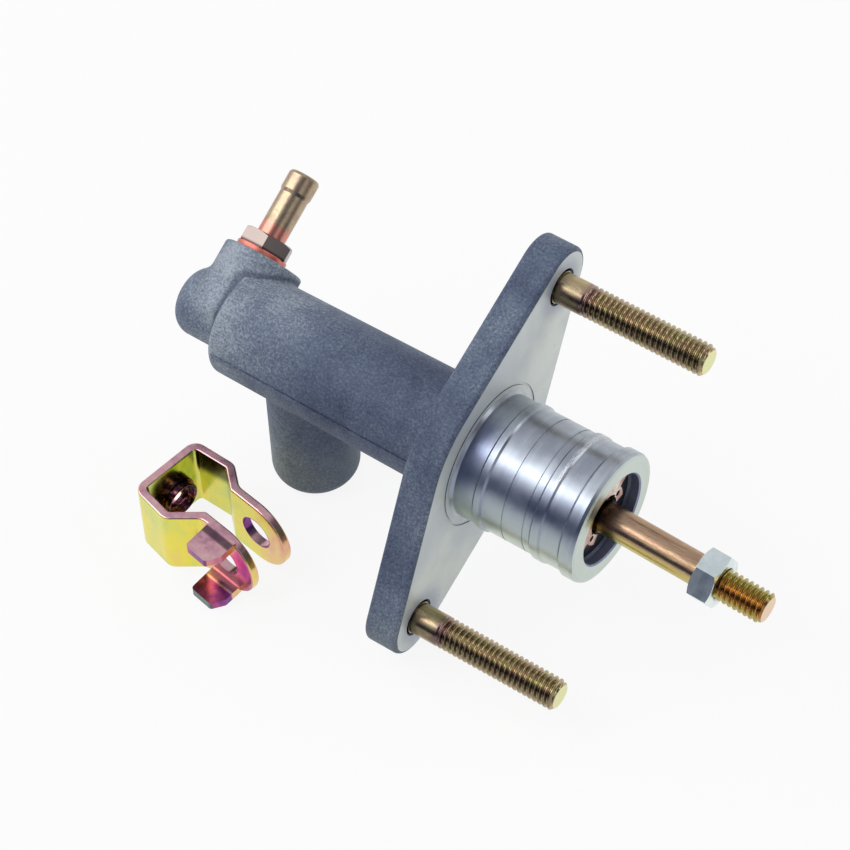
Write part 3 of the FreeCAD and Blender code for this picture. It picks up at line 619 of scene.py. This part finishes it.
nut_finish = plated("clear_zinc", rgb(216, 230, 228), rgb(236, 244, 242), 0.24)
steel_finish = plated("bright_steel", rgb(206, 196, 198), rgb(232, 226, 226), 0.30)
circlip_finish = plated("stained_steel", rgb(176, 122, 110), rgb(232, 222, 206), 0.30)
black_finish = plated("black_phosphate", rgb(16, 16, 24), rgb(32, 32, 44), 0.42, 0.3)
copper_finish = plated("soft_copper", rgb(216, 112, 100), rgb(236, 142, 124), 0.38, 0.6)

# %% [markdown]
# The seals are moulded rubber, which is nearly black and not metallic, with a grey bloom. They
# stand deep in the bore, so one noise for colour, roughness and bump is enough.


# %% Rubber
def moulded_rubber():
    f = Finish("moulded_rubber")
    g = f.graph
    bloom = g.noise(f.place, 300, 4.0, 0.6)
    colour = g.mix(g.step(bloom, 0.4, 0.7), grey(0.012), grey(0.03))
    return f.close(colour, 0.5 + bloom * 0.2, 0.0, bloom, 0.2, 0.00005)


rubber_finish = moulded_rubber()

# %% [markdown]
# The clevis, one bent strip of steel, lies beside the cylinder, turned a little. Its finish and
# its threaded boss both need its place. It could be read from the loaded mesh, but a bent strip
# has no centre that says where its web is, so the place is given. The clevis also gets directions
# of its own: u along its arms, v across them and w up.

# %% Place of the clevis
clevis_place = Vector((-0.0742, -0.0318, box_at_start[0].z))
clevis_turn = math.radians(-9.2)
pin_hole_u, pin_hole_w = 0.0256, 0.0099

# %% [markdown]
# The clevis has the strongest film. Its colour follows the thickness of the film, through yellow,
# peach, pink, magenta and purple to green. Each face could be given colours by hand, but on the
# real part one number decides them all. So the thickness is worked out over the surface, and picks
# the colour from one ramp. A Mapping node of type Texture turns the place into u, v and w for it.
#
# The cut edges are pinker than the faces, partly from the film and partly as a painted reflection.
# The top of the far wall and the fold behind the tabs are painted nearly black, a painted
# reflection, because there the real plate mirrors nothing but its own dark inside.


# %% Iridescent clevis
def iridescent_zinc(name):
    f = Finish(name)
    g = f.graph
    own = g.add("ShaderNodeMapping", {"vector_type": "TEXTURE"}, {
        "Vector": f.place, "Location": tuple(clevis_place), "Rotation": (0, 0, clevis_turn)})
    own_normal = g.add("ShaderNodeMapping", {"vector_type": "VECTOR"}, {
        "Vector": f.normal, "Rotation": (0, 0, -clevis_turn)})
    split = g.add("ShaderNodeSeparateXYZ", {}, {0: own})
    u, v, w = (split.out(name) for name in "XYZ")
    facing = g.add("ShaderNodeSeparateXYZ", {}, {0: own_normal})
    nu, nv, nw = (facing.out(name) for name in "XYZ")

    near = g.step(v, -0.0035, -0.0045)
    outer_ear = near * g.step(u, 0.0185, 0.0205) * g.step(nv, -0.5, -0.8)
    tabs = near * g.step(v, -0.0074, -0.0084) * g.step(u, 0.019, 0.020)
    low_tab = tabs * g.step(w, 0.0075, 0.0055)
    high_tab = tabs * g.step(w, 0.0150, 0.0165)
    web_inside = g.step(nu, 0.6, 0.9) * g.step(u, 0.0040, 0.0030)
    pin_u, pin_w = u - pin_hole_u, w - pin_hole_w
    hole_wall = g.step(g.sum("SQRT", pin_u * pin_u + pin_w * pin_w), 0.0048, 0.0046)

    soft = g.noise(own, 110, 2.0, 0.5, 0.6)
    drawn_out = g.add("ShaderNodeMapping", {}, {"Vector": own, "Scale": (420, 420, 40)})
    streaks = g.noise(drawn_out, 1.0, 2.0, 0.5)
    thickness = (0.15 + g.step(u, 0.014, 0.038) * 0.20
                 + (soft - 0.5) * 0.34 + (streaks - 0.5) * 0.20
                 + outer_ear * 0.20 + low_tab * 0.36 + high_tab * 0.18 - web_inside * 0.09)
    thickness = thickness * (1 - hole_wall) + hole_wall * 0.66
    film_and_sheen = g.ramp(thickness, [
        (0.00, rgb(150, 186, 84)), (0.10, rgb(212, 216, 112)), (0.20, rgb(236, 222, 92)),
        (0.33, rgb(236, 198, 132)), (0.45, rgb(222, 156, 150)), (0.58, rgb(176, 84, 132)),
        (0.70, rgb(98, 56, 136)), (0.84, rgb(92, 122, 96)), (1.00, rgb(196, 214, 160))])

    cloud = g.noise(own, 420, 3.0, 0.6)
    # cut edges pinker: partly the film, partly a painted reflection
    cut = g.step(g.sum("ABSOLUTE", nw), 0.55, 0.9) * (1 - low_tab)
    edge = g.ramp(cloud * 0.5 + soft * 0.5, [
        (0.36, rgb(186, 136, 152)), (0.50, rgb(220, 170, 176)), (0.64, rgb(228, 188, 184))])
    colour = g.mix(cut, film_and_sheen, edge)
    # painted reflection: the top of the far wall nearly black
    far_wall_reflection = (g.step(v, 0.001, 0.003) * g.step(nv, -0.5, -0.8) * g.step(u, 0.016, 0.012)
                * g.step(w + (soft - 0.5) * 0.003, 0.0120, 0.0150))
    colour = g.mix(far_wall_reflection * 0.8, colour, rgb(26, 30, 14))
    # painted reflection: the fold behind the tabs darker
    fold_reflection = (near * g.step(v, -0.0052, -0.0058) * g.step(v, -0.0080, -0.0072)
            * g.step(u, 0.0190, 0.0205) * g.step(nw, 0.5, 0.8))
    colour = g.mix(fold_reflection * 0.8, colour, rgb(58, 46, 58))
    return f.close(colour, 0.22 + (cloud - 0.5) * 0.2, 1.0, cloud, 0.15, 0.00005)


clevis_finish = iridescent_zinc("iridescent_zinc")

# %% [markdown]
# The threaded boss inside the clevis is nearly black, with a pink and gold film in patches. It
# could share the finish of the clevis, but that one is bright everywhere.


# %% Dark boss
def dark_boss():
    f = Finish("dark_zinc")
    g = f.graph
    film_and_sheen = g.noise(f.place, 620, 3.0, 0.6)
    colour = g.ramp(film_and_sheen, [
        (0.36, rgb(30, 20, 30)), (0.50, rgb(70, 40, 56)), (0.62, rgb(150, 86, 104)),
        (0.72, rgb(170, 150, 70))])
    return f.close(colour, 0.30, 1.0, film_and_sheen, 0.15, 0.00004)


boss_finish = dark_boss()

# %% [markdown]
# The studs and the pushrod are threaded bars of the same pitch, 18 turns an inch. The sizes that
# their pieces share are given once, so that a change reaches every piece that meets another.

# %% Sizes of the bars
thread_pitch = 0.0254 / 18
corners_round, rows_a_turn = 64, 14
stud_r, stud_root_r = 0.00395, 0.00318
stud_back, stud_plain, stud_end = -0.0089, 0.0068, 0.0402

# %% [markdown]
# A thread follows a rule: the radius at a point depends on how far along and how far round it is.
# It could be a profile drawn along a helix, but that leaves a seam where it has to meet the bar.
# So a grid is rolled up into a tube, and one sum gives the radius of each point. The same tree
# serves the studs, the pushrod and, turned inside out, the hole of the clevis.


# %% Thread tree
def new_group(name, sizes):
    group = bpy.data.node_groups.new(name, "GeometryNodeTree")
    group.interface.new_socket("Geometry", in_out="OUTPUT", socket_type="NodeSocketGeometry")
    keys = {}
    for label, kind in sizes.items():
        item = group.interface.new_socket(label, in_out="INPUT", socket_type="NodeSocket" + kind)
        keys[label] = item.identifier
    return group, keys


thread_sizes = {
    "Start": "Float", "End": "Float", "Pitch": "Float", "Crest": "Float", "Root": "Float",
    "End radius": "Float", "Run out": "Float", "Inside": "Float", "Rows": "Int", "Around": "Int",
    "Finish": "Material"}
thread_tree, thread_keys = new_group("thread", thread_sizes)


def build_thread_tree():
    g = Graph(thread_tree)
    size = g.add("NodeGroupInput")
    start, end = size.out("Start"), size.out("End")
    crest, root = size.out("Crest"), size.out("Root")
    grid = g.add("GeometryNodeMeshGrid", {}, {
        "Size X": 1.0, "Size Y": 1.0,
        "Vertices X": size.out("Rows"), "Vertices Y": size.out("Around")})
    split = g.add("ShaderNodeSeparateXYZ", {}, {0: g.add("GeometryNodeInputPosition")})
    down_bar, round_bar = split.out("X") + 0.5, split.out("Y") + 0.5
    along = start + down_bar * (end - start)
    angle = round_bar * math.tau
    turn_share = g.sum("FRACT", (along - start) / size.out("Pitch") - round_bar + 400)
    hill = g.sum("ABSOLUTE", turn_share * 2 - 1)
    flank = g.add("ShaderNodeMapRange", {}, {"Value": hill, "From Min": 0.14, "From Max": 0.86})
    grown = g.step((along - start) / size.out("Run out"), 0.0, 1.0)
    side = 1 - size.out("Inside") * 2
    thread_r = crest - (crest - root) * flank * grown
    bevel_r = side * size.out("End radius") + (end - along)
    radius = side * g.sum("MINIMUM", side * thread_r, bevel_r)
    place = g.add("ShaderNodeCombineXYZ", {}, {
        0: along, 1: radius * g.sum("COSINE", angle), 2: radius * g.sum("SINE", angle)})
    rolled = g.add("GeometryNodeSetPosition", {}, {"Geometry": grid, "Position": place})
    closed = g.add("GeometryNodeMergeByDistance", {}, {"Geometry": rolled, "Distance": 0.000001})
    smooth = g.add("GeometryNodeSetShadeSmooth", {}, {"Geometry": closed})
    whole = g.add("GeometryNodeRealizeInstances", {}, {"Geometry": smooth})
    dressed = g.add("GeometryNodeSetMaterial", {}, {
        "Geometry": whole, "Material": size.out("Finish")})
    g.add("NodeGroupOutput", {}, {0: dressed})
    print("thread tree of", len(thread_tree.nodes), "nodes")


build_thread_tree()


def plain_mesh(name, tree, keys, values):
    """Runs a tree with its sizes set, and returns the result as a plain mesh."""
    host = bpy.data.objects.new(name, bpy.data.meshes.new(name))
    bpy.context.scene.collection.objects.link(host)
    modifier = host.modifiers.new(name, "NODES")
    modifier.node_group = tree
    for label, value in values.items():
        modifier[keys[label]] = value
    graph = bpy.context.evaluated_depsgraph_get()
    mesh = bpy.data.meshes.new_from_object(host.evaluated_get(graph))
    bpy.data.objects.remove(host)
    print(name, len(mesh.vertices), "points")
    return mesh


def threaded(name, start, end, crest, root, end_radius, run_out, finish, inside=0.0):
    """Threaded stretch of a bar along X, from start to end; inside is 1 for a threaded hole."""
    turns = (end - start) / thread_pitch
    return plain_mesh(name, thread_tree, thread_keys, {
        "Start": start, "End": end, "Pitch": thread_pitch, "Crest": crest, "Root": root,
        "End radius": end_radius, "Run out": run_out, "Inside": inside,
        "Rows": int(turns * rows_a_turn) + 2, "Around": corners_round + 1, "Finish": finish})


# %% [markdown]
# The plain stretches of a bar are bodies of revolution. They could be cylinders and cones put end
# to end, but a list of places along the axis and radii is shorter and leaves no walls inside. Each
# is turned from such a list, and joined to its thread where both have the same radius.


# %% Turned shapes
def turned(profile):
    """Solid of revolution about X as a bmesh, from (x, r) points; points on the axis close it."""
    shape = bmesh.new()
    angles = [math.tau * k / corners_round for k in range(corners_round)]
    rings = []
    for x, r in profile:
        if r < 1e-7:
            rings.append([shape.verts.new((x, 0, 0))])
        else:
            rings.append([shape.verts.new((x, r * math.cos(a), r * math.sin(a))) for a in angles])
    for first, second in zip(rings, rings[1:]):
        for k in range(corners_round):
            corners = [first[k % len(first)], first[(k + 1) % len(first)],
                       second[(k + 1) % len(second)], second[k % len(second)]]
            corners = [c for i, c in enumerate(corners) if c not in corners[:i]]
            if len(corners) > 2:
                shape.faces.new(corners)
    return shape


def joined(name, body, finish, parts, replaced, place):
    """One piece from bmeshes and meshes, its normals outwards, riding on a body."""
    whole = bmesh.new()
    for part in parts:
        if isinstance(part, bmesh.types.BMesh):
            mesh = bpy.data.meshes.new("part")
            part.to_mesh(mesh)
            part.free()
            part = mesh
        whole.from_mesh(part)
        bpy.data.meshes.remove(part)
    bmesh.ops.remove_doubles(whole, verts=whole.verts, dist=0.000002)
    bmesh.ops.recalc_face_normals(whole, faces=whole.faces)
    for face in whole.faces:
        face.smooth = True
        face.material_index = 0
    whole.transform(place)
    mesh = bpy.data.meshes.new(name)
    whole.to_mesh(mesh)
    whole.free()
    mesh.set_sharp_from_angle(angle=math.radians(32))
    mesh.materials.append(finish)
    piece = bpy.data.objects.new(name, mesh)
    bpy.context.scene.collection.objects.link(piece)
    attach(piece, body)
    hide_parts(*replaced)
    print(name, len(mesh.polygons), "faces")


# %% [markdown]
# Each stud is pressed in from behind: a flat head, a thick stretch that grips the flange, a plain
# stretch, and a thread that fades in over one turn and ends in a bevel. Ribs could be laid on the
# CAD cylinder, but its surface would show between them, so the whole stud is made anew.


# %% Studs
stud_head_r, stud_head_height, stud_head_edge = 0.0060, 0.0010, 0.0003
grip_r, grip_length, neck_r = 0.00445, 0.0042, 0.0042
stud_bevel_r = stud_r - 0.0009


def make_stud(name, side):
    top, grip_end = stud_back - stud_head_height, stud_back + grip_length
    head = turned([
        (top, 0), (top, stud_head_r - stud_head_edge), (top + stud_head_edge, stud_head_r),
        (stud_back, stud_head_r), (stud_back, grip_r), (grip_end, grip_r), (grip_end, neck_r),
        (0.0, neck_r), (0.0, stud_r), (stud_plain, stud_r)])
    thread = threaded(name, stud_plain, stud_end, stud_r, stud_root_r, stud_bevel_r,
                      thread_pitch * 1.2, stud_finish)
    end = turned([(stud_end, stud_bevel_r), (stud_end, 0)])
    joined(name, "cylinder", stud_finish, [head, thread, end], ["flange_" + name],
           Matrix.Translation(Vector(stud_centre) * side))


make_stud("stud_upper", 1)
make_stud("stud_lower", -1)

# %% [markdown]
# The pushrod has a ball in the piston, a plain shank, and a thread for the nut and the clevis. It
# leans a little from the bore. It could be made in place, but a thread is simplest about an axis,
# so it is turned along X and then laid along its own line. The ball stands against the hole of the
# stop washer, which is narrower than the ball and keeps it in.

# %% Pushrod
ball_r, shank_r, rod_root_r = 0.0062, 0.00393, 0.00314
rod_bevel_r = shank_r - 0.0008
rod_thread_start, rod_tip = 0.0320, 0.0505
washer_x, washer_hole_r, slack = 0.02927, 0.0056, 0.00004
ball_x = washer_x - math.sqrt(ball_r ** 2 - washer_hole_r ** 2) - slack
rod_lean, rod_lean_towards = math.radians(1.53), math.radians(211)
rod_line = Vector((math.cos(rod_lean), math.sin(rod_lean) * math.cos(rod_lean_towards),
                   math.sin(rod_lean) * math.sin(rod_lean_towards)))


def make_pushrod():
    neck = math.asin(shank_r / ball_r)
    steps = 24
    ball = [(-ball_r * math.cos(a), ball_r * math.sin(a))
            for a in ((math.pi - neck) * k / steps for k in range(1, steps + 1))]
    bar = turned([(-ball_r, 0)] + ball + [(rod_thread_start, shank_r)])
    thread = threaded("pushrod_thread", rod_thread_start, rod_tip, shank_r, rod_root_r,
                      rod_bevel_r, thread_pitch * 0.8, rod_finish)
    end = turned([(rod_tip, rod_bevel_r), (rod_tip, 0)])
    lean = Vector((1, 0, 0)).rotation_difference(rod_line).to_matrix().to_4x4()
    place = Matrix.Translation((ball_x, 0, 0)) @ lean
    joined("pushrod_bar", "pushrod", rod_finish, [bar, thread, end], ["pushrod"], place)


make_pushrod()

# %% [markdown]
# The boss of the clevis is a short stepped tube with the same thread inside. The hole could be cut
# with a threaded bar by a Boolean, but that leaves ragged edges. The thread tree is turned inside
# out instead, so that its ridges point inwards, and its last turn flares into a bevel.

# %% Clevis boss
boss_start, boss_end, boss_edge = 0.0023, 0.0057, 0.0002
boss_r, boss_step_x, boss_step_r = 0.0054, 0.0040, 0.0048
boss_crest_r, boss_root_r, boss_bevel_r = 0.0033, 0.0039, 0.0043


def make_clevis_boss():
    shell = turned([
        (boss_start, boss_crest_r), (boss_start, boss_r), (boss_step_x - boss_edge, boss_r),
        (boss_step_x, boss_r - boss_edge), (boss_step_x, boss_step_r),
        (boss_end - boss_edge, boss_step_r), (boss_end, boss_step_r - boss_edge),
        (boss_end, boss_bevel_r)])
    thread = threaded("boss_thread", boss_start, boss_end, boss_crest_r, boss_root_r,
                      boss_bevel_r, thread_pitch * 0.3, boss_finish, inside=1.0)
    place = (Matrix.Translation(clevis_place + Vector((0, 0, pin_hole_w)))
             @ Matrix.Rotation(clevis_turn, 4, "Z"))
    joined("clevis_bush", "cylinder", boss_finish, [shell, thread], ["clevis_boss"], place)


make_clevis_boss()

# %% [markdown]
# The parts whose CAD shape is right keep it, with its own smooth normals, and only get their
# finish. Each could be named where its finish is made, but one table shows at a glance that none
# is left out. It names the replaced ones too.

# %% Finishes of the CAD parts
finishes = {
    "casting_barrel": casting_finish, "casting_outlet": casting_finish,
    "casting_flange": casting_finish, "casting_spigot": spigot_finish,
    "inlet_union": union_finish, "copper_washer": copper_finish, "outlet_seat": brass_finish,
    "circlip": circlip_finish, "stop_washer": black_finish, "piston": inner_finish,
    "rear_seal": rubber_finish, "cup_shim": steel_finish, "primary_cup": rubber_finish,
    "spring_cage": steel_finish, "valve_stem": steel_finish, "valve_seal": rubber_finish,
    "valve_spacer": inner_finish, "valve_spring": steel_finish, "return_spring": steel_finish,
    "flange_stud_upper": stud_finish, "flange_stud_lower": stud_finish, "pushrod": rod_finish,
    "lock_nut": nut_finish, "clevis_yoke": clevis_finish, "clevis_boss": boss_finish}
for name, item in cad.items():
    item.data.materials.clear()
    item.data.materials.append(finishes[name])
print("finished", len(finishes), "CAD parts")

# %% [markdown]
# The return spring has one end on the head of the bore and the other on the piston, so it can't
# ride on one body. Its coils could be made anew for each pose; scaling it along the bore towards
# its fixed end, by the stroke of the piston, would look the same from outside. Here it only gets
# a mesh of its own.

# %% Spring with a mesh of its own
spring = cad["return_spring"]
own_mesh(spring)
